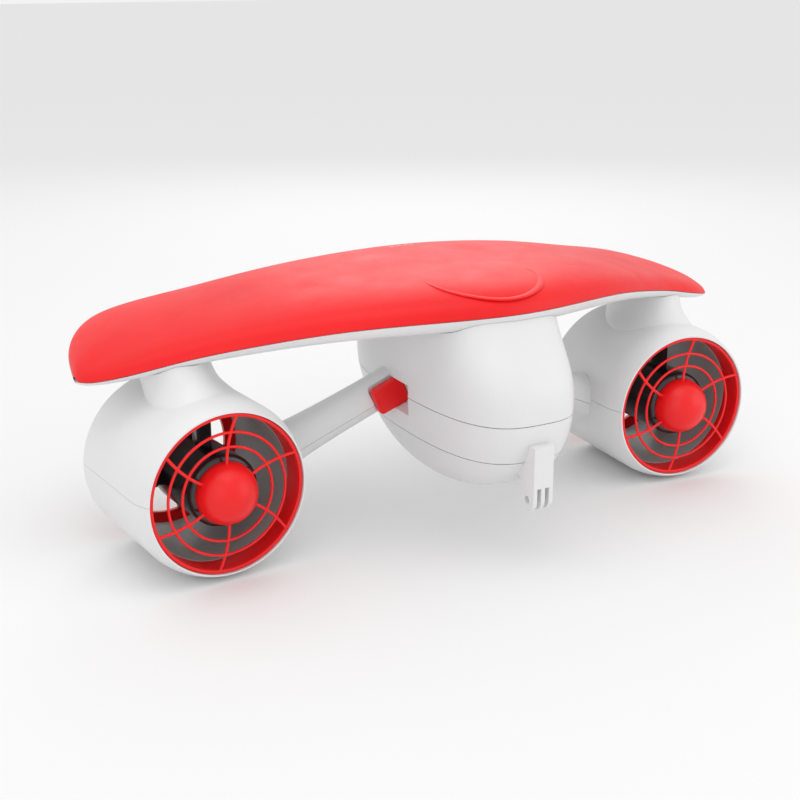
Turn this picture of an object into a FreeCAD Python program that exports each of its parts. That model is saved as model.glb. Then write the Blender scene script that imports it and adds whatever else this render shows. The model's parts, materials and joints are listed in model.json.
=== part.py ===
import FreeCAD, Part

import math
import os
from types import SimpleNamespace

import Sketcher
from FreeCAD import Placement, Rotation, Vector

# A twin-thruster underwater scooter: a gull-wing board, an egg-shaped battery hull under its middle,
# and a ducted thruster under each tip, with a grip between the hull and each duct.
# Frame: origin on the ground under the middle of the scooter, +X across, -Y the way it swims, +Z up.
# "Left" and "right" are the rider's, so left is +X.

# ---------------------------------------------------------------- driving dimensions, millimetres

DRIVING = [
    ("board_width", 516, "board, tip to tip"),
    ("board_rear", 120, "rear rim of the board behind the origin"),
    ("board_nose", 86, "front rim of the board ahead of the origin, at the middle"),
    ("board_sweep", 118, "how far the front rim has swept back at a tip"),
    ("rim_rise", 46, "red and white seam at the middle of the front rim, above the tops of the ducts"),
    ("rear_rim_drop", 3, "how much lower the same seam runs at the middle of the rear rim"),
    ("tip_drop", 39, "how far the seam droops from the middle to a tip"),
    ("board_crown", 19, "rise of the top cover over its rim"),
    ("board_belly", 14, "depth of the tray under its rim"),
    ("board_wall", 3, "wall of the cover and of the tray"),
    ("seam_gap", 0.5, "open line between two casings"),
    ("fit_gap", 0.3, "clearance between pieces that slip into each other"),
    ("thruster_spacing", 370, "between the two duct centres, in the plane of the guard rings"),
    ("thruster_toe", 4.4, "degrees that each jet points away from the middle"),
    ("ring_plane", 36, "guard rings ahead of the origin"),
    ("duct_radius", 60, "outside of a duct"),
    ("duct_length", 98, "guard ring plane to the rear lip"),
    ("duct_wall", 3, "wall of the white duct shells"),
    ("duct_split", 3, "degrees that the parting line lies above the duct's axis"),
    ("lip_reach", 2, "front lip ahead of the ring plane"),
    ("lip_length", 17, "length of the rounded front lip"),
    ("lip_face", 1, "flat face of the front lip"),
    ("lip_round", 3, "rounding of the rear lip"),
    ("lip_depth", 6, "front lip from the guard ring out to the outside of the duct"),
    ("liner_step", 3, "how much narrower the water channel is than the guard ring"),
    ("liner_wall", 2.5, "wall of the liner"),
    ("guard_sleeve", 16, "depth of the guard's sleeve inside the lip"),
    ("guard_bar", 1.3, "half thickness of the guard's rings and spokes"),
    ("guard_rise", 0.225, "how much the guard bows forward per mm towards its hub"),
    ("outer_ring_radius", 41.3, "outer inner ring of the guard"),
    ("inner_ring_radius", 31.6, "inner ring of the guard"),
    ("dome_radius", 22.5, "nose dome in the middle of the guard"),
    ("dome_wall", 2.5, "wall of the nose dome"),
    ("spoke_sweep", 8.8, "sideways sweep of a spoke from hub to ring"),
    ("pod_radius", 24.5, "motor pod"),
    ("pod_wall", 2.5, "wall of the motor pod"),
    ("pod_front", 4.5, "front of the pod behind the ring plane"),
    ("pod_rear", 60, "rear of the pod behind the ring plane"),
    ("strut_width", 9, "width of the strut that carries the pod"),
    ("strut_front", 22, "front edge of the strut"),
    ("strut_chord", 28, "length of the strut along the flow"),
    ("shaft_radius", 4, "propeller shaft"),
    ("shaft_play", 0.05, "radial clearance of the shaft in its bearings"),
    ("bearing_radius", 9, "outside of the shaft bearings"),
    ("bearing_length", 6, "length of one bearing"),
    ("blade_tip_gap", 1.5, "water channel to the tips of the propeller blades"),
    ("blade_thickness", 2.6, "thickness of a blade at its middle"),
    ("root_chord", 24, "blade chord at the hub"),
    ("tip_chord", 23, "blade chord at the tip"),
    ("root_pitch", 50, "degrees, blade angle at the hub"),
    ("tip_pitch", 25, "degrees, blade angle at the tip"),
    ("propeller_length", 26, "length of the propeller hub"),
    ("propeller_gap", 1.2, "free gap ahead of and behind the propeller"),
    ("tail_radius", 12, "hub of the outlet vanes"),
    ("vane_width", 2.4, "thickness of an outlet vane"),
    ("outlet_step", 6, "how much narrower the outlet ring is than the water channel"),
    ("outlet_length", 7, "depth of the outlet ring"),
    ("hull_half_width", 48, "widest half width of the hull"),
    ("hull_widest", -15, "where the hull is widest, behind the origin"),
    ("hull_overlap", 2, "how far the hull reaches up past the front rim, inside the board"),
    ("hull_nose", 116, "front of the hull ahead of the origin"),
    ("hull_tail", 104, "rear of the hull behind the origin"),
    ("hull_bottom", 36, "underside of the hull above the ground"),
    ("hull_waist", 100, "seam between the upper and the lower hull shell"),
    ("door_seam", 73, "seam between the lower hull shell and the battery door"),
    ("hull_wall", 3, "wall of the hull shells"),
    ("seal_inset", 0.8, "how far the seals stand back from the outer face"),
    ("bracket_width", 15, "camera bracket, across its three prongs"),
    ("bracket_slot", 3.1, "slot between two prongs"),
    ("bracket_front", 120, "front of the camera bracket ahead of the origin"),
    ("bracket_top", 86, "top of the camera bracket"),
    ("bracket_hole", 2.6, "radius of the cross hole"),
    ("bracket_hole_height", 48.5, "cross hole above the ground"),
    ("bracket_depth", 15, "length of the prongs, front to back"),
    ("bracket_heel", 33, "length of the bracket where it meets the hull"),
    ("bracket_neck", 12, "plain neck of the prongs above the cross hole"),
    ("bracket_slope", 22, "height over which the neck widens to the heel, above the cross hole"),
    ("grip_inner", 38, "grip axis starts this far from the middle"),
    ("grip_inner_height", 102, "height of the grip axis there"),
    ("grip_outer", 133, "grip axis ends this far from the middle"),
    ("grip_outer_height", 61, "height of the grip axis there"),
    ("grip_setback", 10, "grip axis behind the origin at the hull"),
    ("grip_slant", 8, "how much further back it ends at the duct"),
    ("grip_radius", 13, "radius of the grip"),
    ("grip_wall", 2.5, "wall of the grip shells"),
    ("tube_radius", 8, "metal tube inside the grip"),
    ("tube_wall", 1.5, "wall of that tube"),
    ("trigger_length", 24, "trigger along the grip"),
    ("trigger_height", 20, "trigger across the grip"),
    ("trigger_proud", 4.5, "trigger stands out of the grip"),
    ("trigger_travel", 3.5, "how far the trigger can be pressed"),
    ("trigger_offset", 12.5, "trigger's middle along the grip axis"),
    ("trigger_corner", 4, "rounding of the trigger's corners"),
    ("trigger_scoop", 36, "how far ahead of the grip axis the trigger's recess opens in the hull"),
    ("trigger_clearance", 0.8, "back of the trigger to the tube when it is pressed right in"),
    ("spring_radius", 3.2, "outside of the spring behind the trigger"),
    ("spring_wall", 1, "wall of the sleeve that stands for the spring"),
    ("frame_wall", 1.5, "wall of the frame that lines that recess"),
    ("tube_short", 12, "how far the grip tube ends short of the duct end of the axis"),
    ("tube_reach", 12, "how far the grip tube reaches into the hull"),
    ("lead_reach", 2, "how far the motor lead stands out of each end of the tube"),
    ("lead_radius", 3.6, "motor lead, three wires in one sleeve"),
    ("battery_width", 48, "battery pack, side to side"),
    ("battery_length", 70, "battery pack, front to back"),
    ("battery_height", 40, "battery pack, floor to top"),
    ("battery_floor", 17, "battery pack above the underside of the hull"),
    ("controller_width", 42, "motor controller, side to side"),
    ("controller_length", 64, "motor controller, front to back"),
    ("controller_height", 20, "motor controller, floor to top"),
    ("controller_floor", 6, "motor controller above the waist seam"),
    ("light_pitch", 5.2, "between two of the four charge lights"),
    ("light_length", 4, "one charge light, side to side"),
    ("light_width", 2.2, "one charge light, front to back"),
    ("light_back", 70, "row of charge lights behind the origin"),
    ("light_play", 0.05, "gap around each charge light"),
    ("circuit_length", 28, "small circuit board under the lights, side to side"),
    ("circuit_width", 14, "the same board, front to back"),
    ("circuit_height", 1.6, "thickness of that board"),
    ("circuit_drop", 4, "that board's top below the lights"),
]


class Size:
    """A number together with the sheet expression that gives it."""

    def __init__(self, value, text):
        self.value = float(value)
        self.text = text

    def __add__(self, other):
        other = as_size(other)
        return Size(self.value + other.value, f"({self.text} + {other.text})")

    def __radd__(self, other):
        return as_size(other) + self

    def __sub__(self, other):
        other = as_size(other)
        return Size(self.value - other.value, f"({self.text} - {other.text})")

    def __rsub__(self, other):
        return as_size(other) - self

    def __mul__(self, other):
        other = as_size(other)
        return Size(self.value * other.value, f"({self.text} * {other.text})")

    def __rmul__(self, other):
        return as_size(other) * self

    def __truediv__(self, other):
        other = as_size(other)
        return Size(self.value / other.value, f"({self.text} / {other.text})")

    def __neg__(self):
        return Size(-self.value, f"(0 - {self.text})")


def as_size(number):
    if isinstance(number, Size):
        return number
    return Size(number, f"({number!r})")


def cosine(angle):
    return Size(math.cos(math.radians(angle.value)), f"cos({angle.text} * 1 deg)")


def sine(angle):
    return Size(math.sin(math.radians(angle.value)), f"sin({angle.text} * 1 deg)")


doc = FreeCAD.newDocument("UnderwaterScooter")
sheet = doc.addObject("Spreadsheet::Sheet", "Dims")
for row, (alias, value, meaning) in enumerate(DRIVING, start=1):
    sheet.set(f"A{row}", meaning)
    sheet.set(f"B{row}", str(value))
    sheet.setAlias(f"B{row}", alias)
doc.recompute()

S = SimpleNamespace(**{alias: Size(value, f"Dims.{alias}") for alias, value, _ in DRIVING})

# Sizes that follow from others, so that the pieces keep fitting when one of those changes.
S.rim_height = S.duct_radius * 2 + S.rim_rise
S.rear_rim_height = S.rim_height - S.rear_rim_drop
S.hull_top = S.rim_height + S.hull_overlap
S.guard_radius = S.duct_radius - S.lip_depth
S.liner_radius = S.guard_radius - S.liner_step
S.blade_radius = S.liner_radius - S.blade_tip_gap
S.outlet_radius = S.liner_radius - S.outlet_step
subparts = []


# ---------------------------------------------------------------- helpers for bodies and sketches

def keep(thing, label):
    """Registers an object as one finished piece."""
    thing.Label = label
    subparts.append(thing)
    return thing


def new_body(name):
    return doc.addObject("PartDesign::Body", name + "_body")


def origin_item(body, role):
    return next(item for item in body.Origin.OriginFeatures if item.Role == role)


def new_sketch(body, role, shift=None):
    sketch = body.newObject("Sketcher::SketchObject", body.Name + "_sketch")
    sketch.AttachmentSupport = [(origin_item(body, role), "")]
    sketch.MapMode = "FlatFace"
    if shift is not None:
        sketch.AttachmentOffset = Placement(Vector(0, 0, shift.value), Rotation())
        sketch.setExpression("AttachmentOffset.Base.z", shift.text)
    return sketch


def arc_between(start, end, radius):
    """Arc from start to end; a positive radius turns left, a negative one turns right."""
    middle = (start + end) * 0.5
    half = (end - start) * 0.5
    side = 1 if radius > 0 else -1
    rise = math.sqrt(max(radius * radius - half.Length ** 2, 0))
    centre = middle + Vector(-half.y, half.x, 0).normalize() * (rise * side)
    first = math.atan2(start.y - centre.y, start.x - centre.x)
    last = math.atan2(end.y - centre.y, end.x - centre.x)
    if side < 0:
        first, last = last, first
    return Part.ArcOfCircle(Part.Circle(centre, Vector(0, 0, 1), abs(radius)), first, last)


def draw(sketch, corners):
    """Closed outline whose corners are (across, along) or (across, along, radius of the next arc)."""
    corners = [tuple(as_size(number) for number in corner) for corner in corners]
    points = [Vector(corner[0].value, corner[1].value, 0) for corner in corners]
    first = sketch.GeometryCount
    starts = []
    for index, corner in enumerate(corners):
        here = points[index]
        there = points[(index + 1) % len(points)]
        if len(corner) == 3:
            sketch.addGeometry(arc_between(here, there, corner[2].value))
            starts.append(1 if corner[2].value > 0 else 2)
        else:
            sketch.addGeometry(Part.LineSegment(here, there))
            starts.append(1)
    for index, corner in enumerate(corners):
        piece = first + index
        following = (index + 1) % len(corners)
        end = 3 - starts[index]
        join = ("Coincident", piece, end, first + following, starts[following])
        sketch.addConstraint(Sketcher.Constraint(*join))
        for kind, number in (("DistanceX", corner[0]), ("DistanceY", corner[1])):
            hold = Sketcher.Constraint(kind, -1, 1, piece, starts[index], number.value)
            bound = sketch.addConstraint(hold)
            if "Dims" in number.text:
                sketch.setExpression(f"Constraints[{bound}]", number.text)
        if len(corner) == 3:
            radius = corner[2] if corner[2].value > 0 else -corner[2]
            bound = sketch.addConstraint(Sketcher.Constraint("Radius", piece, radius.value))
            if "Dims" in radius.text:
                sketch.setExpression(f"Constraints[{bound}]", radius.text)


def tangent_radius(across, along):
    """Radius of the arc that starts along one direction and ends at (across, along) from there."""
    return (across * across + along * along) / (across * 2)


def turned(name, outlines, angle=None):
    """Body turned about its Z axis from outlines of (radius, along) in the YZ plane."""
    body = new_body(name)
    sketch = new_sketch(body, "YZ_Plane")
    for corners in outlines:
        draw(sketch, corners)
    turn = body.newObject("PartDesign::Revolution", body.Name + "_turn")
    turn.Profile = sketch
    turn.ReferenceAxis = (sketch, ["V_Axis"])
    turn.Angle = 360
    if angle is not None:
        turn.Midplane = True
        turn.setExpression("Angle", angle.text)
    body.Tip = turn
    return body


def rod_outline(inner, outer, start, end):
    return [(inner, start), (outer, start), (outer, end), (inner, end)]


def padded(body, sketch, length, backwards=False, both_ways=False):
    pad = body.newObject("PartDesign::Pad", body.Name + "_pad")
    pad.Profile = sketch
    pad.setExpression("Length", length.text)
    pad.Reversed = backwards
    pad.Midplane = both_ways
    body.Tip = pad
    return pad


def repeated(body, feature, count):
    """Repeats a feature around the body's Z axis."""
    pattern = body.newObject("PartDesign::PolarPattern", body.Name + "_pattern")
    pattern.Originals = [feature]
    pattern.Axis = (origin_item(body, "Z_Axis"), [""])
    pattern.Angle = 360
    pattern.Occurrences = count
    body.Tip = pattern
    return pattern


def combine(kind, name, shapes):
    """Part boolean: Cut takes a base and one tool, MultiFuse and MultiCommon take any number."""
    result = doc.addObject("Part::" + kind, name)
    if kind == "Cut":
        result.Base, result.Tool = shapes
    else:
        result.Shapes = list(shapes)
    return result


def cut_all(name, base, tools):
    for tool in tools:
        base = combine("Cut", name, (base, tool))
    return base


def cylinder(name, radius, height, place):
    rod = doc.addObject("Part::Cylinder", name)
    rod.setExpression("Radius", radius.text)
    rod.setExpression("Height", height.text)
    rod.Placement = place
    return rod


def block(name, low, high):
    """Box between two corners, each three sizes."""
    low = [as_size(number) for number in low]
    high = [as_size(number) for number in high]
    box = doc.addObject("Part::Box", name)
    for axis, prop, bottom, top in zip("xyz", ("Length", "Width", "Height"), low, high):
        box.setExpression(prop, (top - bottom).text)
        box.setExpression("Placement.Base." + axis, bottom.text)
    return box


def solid_feature(name, shape):
    feature = doc.addObject("Part::Feature", name)
    feature.Shape = shape
    return feature


# ---------------------------------------------------------------- places

def thruster_place(side, spin=0):
    """Frame of a thruster: Z runs to the rear along its axis, Y up, at the middle of the guard ring."""
    upright = Rotation(Vector(-1, 0, 0), Vector(0, 0, 1), Vector(0, 1, 0), "ZYX")
    toe = Rotation(Vector(0, 0, 1), -side * S.thruster_toe.value)
    centre = Vector(side * S.thruster_spacing.value / 2, -S.ring_plane.value, S.duct_radius.value)
    return Placement(centre, toe * upright * Rotation(Vector(0, 0, 1), spin))


def grip_place(side):
    """Frame of a grip: Z runs from the hull out to the duct, X forward."""
    start = Vector(side * S.grip_inner.value, S.grip_setback.value, S.grip_inner_height.value)
    end_y = S.grip_setback.value + S.grip_slant.value
    end = Vector(side * S.grip_outer.value, end_y, S.grip_outer_height.value)
    run = end - start
    forward = Vector(0, -1, 0)
    return Placement(start, Rotation(forward, run.cross(forward), run, "ZXY"))


def grip_length():
    across = S.grip_outer.value - S.grip_inner.value
    down = S.grip_inner_height.value - S.grip_outer_height.value
    return math.sqrt(across ** 2 + down ** 2 + S.grip_slant.value ** 2)


# ---------------------------------------------------------------- board: cover, tray and core

# Stations from the middle to a tip, as shares of the half width. For each: how far the front rim
# has swept back, how far the seam has drooped at the front and at the rear, how far the rear rim has
# come forward, and how much of the crown and of the belly is left.
STATIONS = [
    # share  sweep  droop  rear droop  rear in  crown  belly
    (0.000, 0.000, 0.000, 0.000, 8, 1.00, 1.00),
    (0.210, 0.100, 0.040, 0.040, 7, 0.97, 0.97),
    (0.420, 0.290, 0.150, 0.150, 5, 0.88, 0.88),
    (0.620, 0.530, 0.400, 0.310, 2, 0.77, 0.76),
    (0.780, 0.700, 0.640, 0.440, 0, 0.68, 0.68),
    (0.885, 0.790, 0.815, 0.550, 9, 0.58, 0.62),
    (0.950, 0.860, 0.915, 0.670, 30, 0.45, 0.52),
    (0.985, 0.930, 0.970, 0.790, 56, 0.31, 0.36),
    (1.000, 1.010, 1.000, 0.910, 78, 0.12, 0.14),
]


def board_stations():
    """Stations from one tip to the other as (x, share of the table row)."""
    half = S.board_width.value / 2
    right = [(-share * half, row) for share, *row in reversed(STATIONS)]
    left = [(share * half, row) for share, *row in STATIONS[1:]]
    return right + left


def rim_points(x, row, inset):
    """Front and rear point of the rim at a station, moved in by the inset."""
    sweep, droop, rear_droop, rear_in = row[:4]
    front = Vector(x, -S.board_nose.value + S.board_sweep.value * sweep + inset, 0)
    rear = Vector(x, S.board_rear.value - rear_in - inset, 0)
    front.z = S.rim_height.value - S.tip_drop.value * droop
    rear.z = S.rear_rim_height.value - S.tip_drop.value * rear_droop
    return front, rear


def board_curve(x, row, inset, height):
    """Curve over (or, with a negative height, under) the rim from its front to its rear point."""
    front, rear = rim_points(x, row, inset)
    chord = (rear - front).Length
    edge = min(3.5, chord * 0.06) / chord
    shoulder = min(17, chord * 0.2) / chord
    shares = [(0, 0), (edge, 0.42), (shoulder, 0.76), (0.42, 1.0), (1 - shoulder, 0.80), (1 - edge, 0.44), (1, 0)]
    points = [front + (rear - front) * along + Vector(0, 0, height * rise) for along, rise in shares]
    curve = Part.BSplineCurve()
    curve.interpolate(points)
    return curve.toShape()


def crescent(x, row, sign, depth):
    """Section of a shell of the board: outer curve, inner curve and the two lands of the rim."""
    wall = S.board_wall.value * min(1, depth / 8)
    lift = Vector(0, 0, sign * S.seam_gap.value / 2)
    outer = board_curve(x, row, 0, sign * depth)
    inner = board_curve(x, row, wall, sign * (depth - wall))
    ends = [shape.Vertexes[index].Point for shape in (outer, inner) for index in (0, -1)]
    rear_land = Part.makeLine(ends[1], ends[3])
    front_land = Part.makeLine(ends[2], ends[0])
    section = Part.Wire([outer, rear_land, inner, front_land])
    section.translate(lift)
    return section


def outer_section(x, row):
    top = board_curve(x, row, 0, S.board_crown.value * row[4])
    bottom = board_curve(x, row, 0, -S.board_belly.value * row[5])
    return Part.Wire([top, bottom])


def core_section(x, row):
    """Section of the foam core, clear of both shells."""
    clear = S.board_wall.value + S.fit_gap.value
    crown = S.board_crown.value * row[4] - clear - 1
    belly = S.board_belly.value * row[5] - clear - 1
    top = board_curve(x, row, clear * 2, crown)
    bottom = board_curve(x, row, clear * 2, -belly)
    return Part.Wire([top, bottom])


def board():
    stations = board_stations()
    covers = [crescent(x, row, 1, S.board_crown.value * row[4]) for x, row in stations]
    trays = [crescent(x, row, -1, S.board_belly.value * row[5]) for x, row in stations]
    cores = [core_section(x, row) for x, row in stations[3:-3]]
    whole = Part.makeLoft([outer_section(x, row) for x, row in stations], True)
    whole.translate(Vector(0, 0, -S.seam_gap.value / 2 - S.fit_gap.value))
    cover = solid_feature("board_cover_shell", Part.makeLoft(covers, True))
    tray = solid_feature("board_tray_shell", Part.makeLoft(trays, True))
    core = solid_feature("board_core_shape", Part.makeLoft(cores, True))
    return solid_feature("board_outside", whole), cover, tray, core


# ---------------------------------------------------------------- hull

# Levels from the bottom up: height as a share of the hull's rise, half width, nose and tail as
# shares of the largest ones, and the bluntness of the front of the outline (2 is an ellipse).
HULL_LEVELS = [
    (0.000, 0.22, 0.30, -0.02, 2.2),
    (0.022, 0.42, 0.46, 0.10, 2.3),
    (0.080, 0.64, 0.66, 0.34, 2.5),
    (0.180, 0.83, 0.85, 0.60, 2.8),
    (0.330, 0.96, 0.96, 0.83, 3.0),
    (0.510, 1.00, 1.00, 1.00, 3.1),
    (0.640, 1.00, 0.98, 1.00, 3.1),
    (0.760, 1.01, 0.90, 0.97, 3.0),
    (0.880, 1.03, 0.78, 0.92, 3.0),
    (1.000, 1.05, 0.68, 0.86, 3.0),
]
HULL_REAR_BLUNT = 2.3
HULL_POINTS = 28


def hull_outline(level, inset):
    """Smooth closed outline of the hull at a level of the table, moved in by the inset."""
    share, width, nose, tail, blunt = level
    rise = S.hull_top.value - S.hull_bottom.value
    height = S.hull_bottom.value + rise * share
    half_width = S.hull_half_width.value * width - inset
    front = S.hull_widest.value + S.hull_nose.value * nose - inset
    rear = S.hull_tail.value * tail - S.hull_widest.value - inset
    points = []
    for step in range(HULL_POINTS):
        angle = 2 * math.pi * step / HULL_POINTS
        behind = math.sin(angle) > 0
        power = 2 / (HULL_REAR_BLUNT if behind else blunt)
        across = math.copysign(abs(math.cos(angle)) ** power, math.cos(angle))
        along = math.copysign(abs(math.sin(angle)) ** power, math.sin(angle))
        reach = rear if behind else front
        points.append(Vector(half_width * across, S.hull_widest.value + reach * along, height))
    curve = Part.BSplineCurve()
    curve.interpolate(points, PeriodicFlag=True)
    return Part.Wire(curve.toShape())


def hull_solid(inset):
    """Closed hull body, the outside for an inset of 0 and the cavity for an inset of the wall."""
    levels = HULL_LEVELS if inset == 0 else HULL_LEVELS[1:]
    sections = [hull_outline(level, inset) for level in levels]
    if inset > 0:
        sections[0].translate(Vector(0, 0, inset * 0.6))
    return Part.makeLoft(sections, True)


def slab(low, high):
    """Wide level slab between two heights."""
    reach = S.board_width.value
    return Part.makeBox(2 * reach, 2 * reach, high - low, Vector(-reach, -reach, low))


def hull(board_outside, holes):
    outside = hull_solid(0).cut(board_outside.Shape)
    cavity = hull_solid(S.hull_wall.value)
    shell = outside.cut(cavity)
    gap = S.seam_gap.value / 2
    waist = S.hull_waist.value
    seam = S.door_seam.value
    layers = {
        "hull_upper_shell": (waist + gap, S.hull_top.value),
        "hull_lower_shell": (seam + gap, waist - gap),
        "battery_door": (S.hull_bottom.value - 1, seam - gap),
    }
    for name, (low, high) in layers.items():
        piece = shell.common(slab(low, high))
        for hole in holes:
            piece = piece.cut(hole)
        keep(solid_feature(name, piece), name)
    inset = S.seal_inset.value
    recessed = hull_solid(inset).cut(cavity)
    for name, height in (("hull_seal", waist), ("battery_door_seal", seam)):
        piece = recessed.common(slab(height - gap, height + gap))
        for hole in holes:
            piece = piece.cut(hole)
        keep(solid_feature(name, piece), name)
    return solid_feature("hull_outside", hull_solid(0))


# ---------------------------------------------------------------- thrusters

def duct_shells(prefix, side):
    """Upper and lower half of the white duct casing, parted a little above the axis."""
    seat = S.guard_radius + S.fit_gap
    edge = seat + S.lip_face
    lip_arc = tangent_radius(S.duct_radius - edge, S.lip_length + S.lip_reach)
    inside = S.duct_radius - S.duct_wall
    bore = S.liner_radius + S.liner_wall + S.fit_gap
    flange = S.duct_length - S.outlet_length - 2
    sleeve_end = S.guard_sleeve + S.fit_gap
    wall = [
        (seat, -S.lip_reach),
        (edge, -S.lip_reach, lip_arc),
        (S.duct_radius, S.lip_length),
        (S.duct_radius, S.duct_length - S.lip_round, S.lip_round),
        (S.duct_radius - S.lip_round, S.duct_length),
        (bore, S.duct_length),
        (bore, flange),
        (inside, flange - S.duct_wall),
        (inside, sleeve_end + S.duct_wall),
        (bore, sleeve_end + S.duct_wall),
        (seat, sleeve_end),
    ]
    halves = {
        "duct_upper_shell": (180 - 2 * S.duct_split - S.seam_gap / 2, 0),
        "duct_lower_shell": (180 + 2 * S.duct_split - S.seam_gap / 2, 180),
    }
    for name, (angle, spin) in halves.items():
        body = turned(prefix + name, [wall], angle)
        body.Placement = thruster_place(side, spin)
        keep(body, prefix + name)


def lens_corners(width, start, length):
    """Pointed lens of two arcs, for the strut and for its hole in the liner."""
    arc = tangent_radius(width / 2, length / 2)
    return [(0, start, arc), (0, start + length, arc)]


def duct_liner(prefix, side):
    start = S.guard_sleeve + S.fit_gap
    end = S.duct_length - S.outlet_length
    outline = rod_outline(S.liner_radius, S.liner_radius + S.liner_wall, start, end)
    body = turned(prefix + "duct_liner", [outline])
    sketch = new_sketch(body, "XZ_Plane")
    gap = S.fit_gap
    draw(sketch, lens_corners(S.strut_width + gap * 2, S.strut_front - gap * 3, S.strut_chord + gap * 6))
    pocket = body.newObject("PartDesign::Pocket", body.Name + "_strut_hole")
    pocket.Profile = sketch
    pocket.setExpression("Length", S.duct_radius.text)
    body.Tip = pocket
    body.Placement = thruster_place(side)
    return keep(body, prefix + "duct_liner")


def intake_guard(prefix, side):
    """Guard ring with its sleeve, two inner rings, six swept spokes and the nose dome, one moulding."""
    bar = S.guard_bar
    sleeve = S.guard_radius - bar * 2
    rim = [
        (sleeve, S.guard_sleeve),
        (S.guard_radius, S.guard_sleeve),
        (S.guard_radius, -bar, -bar),
        (S.guard_radius - bar, -bar * 2, -bar),
        (sleeve, -bar),
    ]
    inner_dome = S.dome_radius - S.dome_wall
    dome = [
        (0, -S.dome_radius, S.dome_radius),
        (S.dome_radius, 0),
        (S.dome_radius, S.dome_wall),
        (inner_dome, S.dome_wall),
        (inner_dome, 0, -inner_dome),
        (0, -inner_dome),
    ]
    pieces = [turned(prefix + "guard_rim", [rim]), turned(prefix + "guard_dome", [dome])]
    for name, radius in (("outer", S.outer_ring_radius), ("inner", S.inner_ring_radius)):
        ring = doc.addObject("Part::Torus", prefix + "guard_" + name + "_ring")
        ring.setExpression("Radius1", radius.text)
        ring.setExpression("Radius2", bar.text)
        ring.Placement.Base = Vector(0, 0, (S.guard_rise * (radius - S.guard_radius)).value)
        ring.setExpression("Placement.Base.z", (S.guard_rise * (radius - S.guard_radius)).text)
        pieces.append(ring)
    root = S.dome_radius - S.dome_wall * 0.6
    tip = S.guard_radius - bar
    depth = S.guard_rise * (S.guard_radius - root)
    cone = [
        (root, -depth - bar),
        (tip, -bar * 1.2),
        (tip, bar * 0.8),
        (root, bar - depth),
    ]
    band = turned(prefix + "guard_band", [cone])
    star = new_body(prefix + "guard_star")
    sketch = new_sketch(star, "XY_Plane")
    arc = tangent_radius(S.spoke_sweep, tip - root)
    strip = [
        (bar, root, arc),
        (bar - S.spoke_sweep, tip),
        (-bar - S.spoke_sweep, tip, -arc),
        (-bar, root),
    ]
    draw(sketch, strip)
    spoke = padded(star, sketch, S.dome_radius * 2, both_ways=True)
    repeated(star, spoke, 6)
    pieces.append(combine("MultiCommon", prefix + "guard_spokes", (band, star)))
    guard = combine("MultiFuse", prefix + "guard_whole", pieces)
    guard.Placement = thruster_place(side)
    return keep(guard, prefix + "intake_guard")


def motor_pod(prefix, side):
    """Sealed can around the motor with the strut that carries it and lets its leads in."""
    body = new_body(prefix + "motor_pod")
    sketch = new_sketch(body, "YZ_Plane")
    front = S.pod_front
    nose = S.pod_wall * 1.6
    seat = S.bearing_length + S.pod_wall
    end_wall = S.bearing_length + S.duct_wall + 1
    cavity = S.pod_radius - S.pod_wall
    can = [
        (0, front),
        (S.pod_radius - nose, front, nose),
        (S.pod_radius, front + nose),
        (S.pod_radius, S.pod_rear),
        (S.bearing_radius, S.pod_rear),
        (S.bearing_radius, S.pod_rear - end_wall),
        (cavity, S.pod_rear - end_wall),
        (cavity, front + seat + 1),
        (S.bearing_radius, front + seat + 1),
        (S.bearing_radius, front + nose),
        (0, front + nose),
    ]
    draw(sketch, can)
    turn = body.newObject("PartDesign::Revolution", body.Name + "_turn")
    turn.Profile = sketch
    turn.ReferenceAxis = (sketch, ["V_Axis"])
    turn.Angle = 360
    root = S.pod_radius - S.pod_wall / 2
    strut = new_sketch(body, "XZ_Plane", -root)
    draw(strut, lens_corners(S.strut_width, S.strut_front, S.strut_chord))
    padded(body, strut, S.duct_radius - S.duct_wall - S.fit_gap - root, backwards=True)
    body.Placement = thruster_place(side)
    return keep(body, prefix + "motor_pod")


def motor_inside(prefix, side):
    """Windings, bearings and seal, which stand still, and the rotor and shaft, which turn."""
    front = S.pod_front + S.pod_wall * 1.6
    end_wall = S.bearing_length + S.duct_wall + 1
    rear_bearing = S.pod_rear - end_wall
    gap = S.fit_gap
    cavity = S.pod_radius - S.pod_wall
    bore = S.shaft_radius + S.shaft_play
    rotor_radius = cavity * 0.52
    start = front + S.bearing_length + 4
    end = rear_bearing - 3
    windings = rod_outline(rotor_radius + gap, cavity, start, end)
    outer = S.bearing_radius
    bearings = [
        rod_outline(bore, outer, front + gap, front + gap + S.bearing_length),
        rod_outline(bore, outer, rear_bearing, rear_bearing + S.bearing_length),
    ]
    seal = rod_outline(bore, outer, rear_bearing + S.bearing_length + gap, S.pod_rear)
    rotor = rod_outline(S.shaft_radius, rotor_radius, start + 1, end - 1)
    shaft = rod_outline(0, S.shaft_radius, front + gap * 2, shaft_end())
    still = (("motor_windings", [windings]), ("shaft_bearings", bearings), ("shaft_seal", [seal]))
    moving = (("motor_rotor", [rotor]), ("propeller_shaft", [shaft]))
    for name, outlines in still + moving:
        body = turned(prefix + name, outlines)
        body.Placement = thruster_place(side)
        keep(body, prefix + name)


def propeller_start():
    return S.pod_rear + S.propeller_gap


def tail_start():
    return propeller_start() + S.propeller_length + S.propeller_gap


def shaft_end():
    return tail_start() + S.tail_radius * 0.7


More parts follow.
